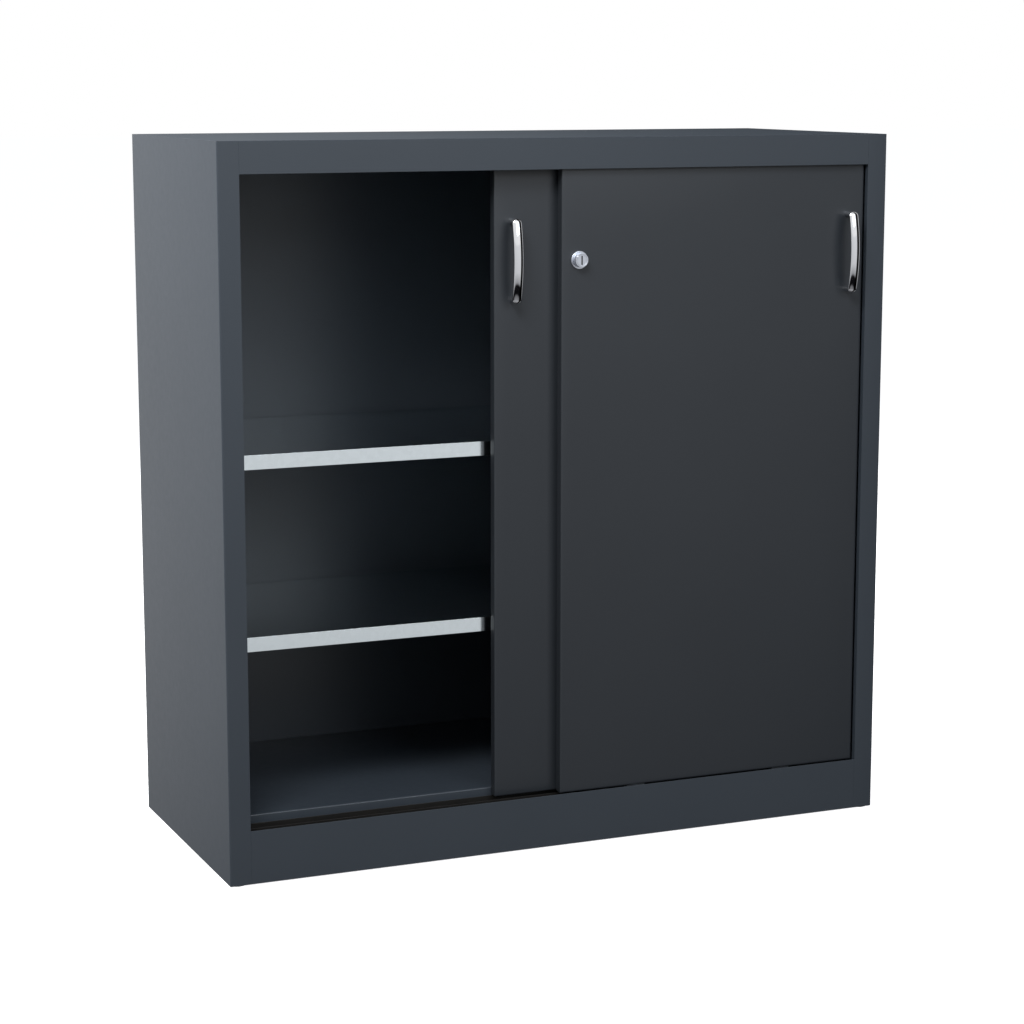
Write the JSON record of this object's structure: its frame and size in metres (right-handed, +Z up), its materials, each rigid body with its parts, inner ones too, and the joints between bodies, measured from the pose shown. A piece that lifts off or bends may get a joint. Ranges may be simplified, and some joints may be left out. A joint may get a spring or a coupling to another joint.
{
  "type": "sliding door cabinet",
  "caption": "Low steel storage cabinet with sliding doors, bow handles, a push lock and adjustable shelves.",
  "frame": {"origin": "on the ground plane, midway between the sides and midway between the handles' outermost face and the back", "axes": "+X to the right seen from the front, +Y from the doors to the back, +Z up"},
  "size_m": [1, 0.44, 1],
  "materials": {
    "carcass_paint": "semi-gloss anthracite powder coat",
    "door_paint": "semi-gloss anthracite powder coat",
    "galvanised_sheet": "galvanised sheet, satin",
    "chrome_plate": "polished chrome plating on die-cast zinc",
    "satin_nickel": "satin nickel plating",
    "black_plastic": "extruded black plastic",
    "roller_plastic": "moulded acetal",
    "stop_rubber": "matt rubber",
    "zinc_steel": "zinc-plated steel"
  },
  "bodies": {
    "cabinet": {"back_panel": "carcass_paint", "corner_glides": "black_plastic", "door_stops": "stop_rubber", "floor_panel": "carcass_paint", "lower_track": "black_plastic", "plinth_rail": "carcass_paint", "shelf_clips": "zinc_steel", "shelf_lower": "galvanised_sheet", "shelf_lower_brace": "galvanised_sheet", "shelf_upper": "galvanised_sheet", "shelf_upper_brace": "galvanised_sheet", "side_panel_left": "carcass_paint", "side_panel_right": "carcass_paint", "top_brace": "carcass_paint", "top_panel": "carcass_paint", "upper_track": "black_plastic", "upper_track_screws": "zinc_steel", "upright_front_left": "carcass_paint", "upright_front_right": "carcass_paint", "upright_rear_left": "carcass_paint", "upright_rear_right": "carcass_paint"},
    "left_door": {"left_door_panel": "door_paint", "left_door_stiffener": "carcass_paint", "left_handle": "chrome_plate", "left_handle_screws": "zinc_steel", "left_roller_axles": "zinc_steel", "left_roller_brackets": "zinc_steel", "left_top_guides": "black_plastic", "lock_strike": "zinc_steel"},
    "right_door": {"lock_housing": "satin_nickel", "lock_nut": "zinc_steel", "lock_spring": "zinc_steel", "right_door_panel": "door_paint", "right_door_stiffener": "carcass_paint", "right_handle": "chrome_plate", "right_handle_screws": "zinc_steel", "right_roller_axles": "zinc_steel", "right_roller_brackets": "zinc_steel", "right_top_guides": "black_plastic"},
    "lock_plunger": {"lock_plunger": "satin_nickel", "lock_bolt": "zinc_steel"},
    "lock_plug": {"lock_plug": "satin_nickel"},
    "left_door_left_roller": {"left_door_left_roller": "roller_plastic"},
    "left_door_right_roller": {"left_door_right_roller": "roller_plastic"},
    "right_door_left_roller": {"right_door_left_roller": "roller_plastic"},
    "right_door_right_roller": {"right_door_right_roller": "roller_plastic"}
  },
  "joints": [
    {"name": "left_door_slide", "type": "slide", "parent": "cabinet", "child": "left_door", "axis": [1, 0, 0], "range_m": [-0.3675, 0.03]},
    {"name": "right_door_slide", "type": "slide", "parent": "cabinet", "child": "right_door", "axis": [1, 0, 0], "range_m": [-0.025, 0]},
    {"name": "lock_press", "type": "slide", "parent": "right_door", "child": "lock_plunger", "axis": [0, 1, 0], "range_m": [0, 0.006], "stiffness_N_per_m": 150, "springref_m": -0.003, "deforming": ["lock_spring"]},
    {"name": "lock_key_turn", "type": "hinge", "parent": "lock_plunger", "child": "lock_plug", "pos_m": [0.0177, -0.2, 0.8325], "axis": [0, 1, 0], "range_deg": [0, 90]},
    {"name": "left_door_left_roller_spin", "type": "hinge", "parent": "left_door", "child": "left_door_left_roller", "pos_m": [0.019, -0.1662, 0.0752], "axis": [0, 1, 0], "continuous": true},
    {"name": "left_door_right_roller_spin", "type": "hinge", "parent": "left_door", "child": "left_door_right_roller", "pos_m": [0.256, -0.1662, 0.0752], "axis": [0, 1, 0], "continuous": true},
    {"name": "right_door_left_roller_spin", "type": "hinge", "parent": "right_door", "child": "right_door_left_roller", "pos_m": [0.1115, -0.1862, 0.0752], "axis": [0, 1, 0], "continuous": true},
    {"name": "right_door_right_roller_spin", "type": "hinge", "parent": "right_door", "child": "right_door_right_roller", "pos_m": [0.3485, -0.1862, 0.0752], "axis": [0, 1, 0], "continuous": true}
  ],
  "couplings": [
    {"joint": "left_door_left_roller_spin", "follows": "left_door_slide", "rad_per_m": 90.909},
    {"joint": "left_door_right_roller_spin", "follows": "left_door_slide", "rad_per_m": 90.909},
    {"joint": "right_door_left_roller_spin", "follows": "right_door_slide", "rad_per_m": 90.909},
    {"joint": "right_door_right_roller_spin", "follows": "right_door_slide", "rad_per_m": 90.909}
  ]
}
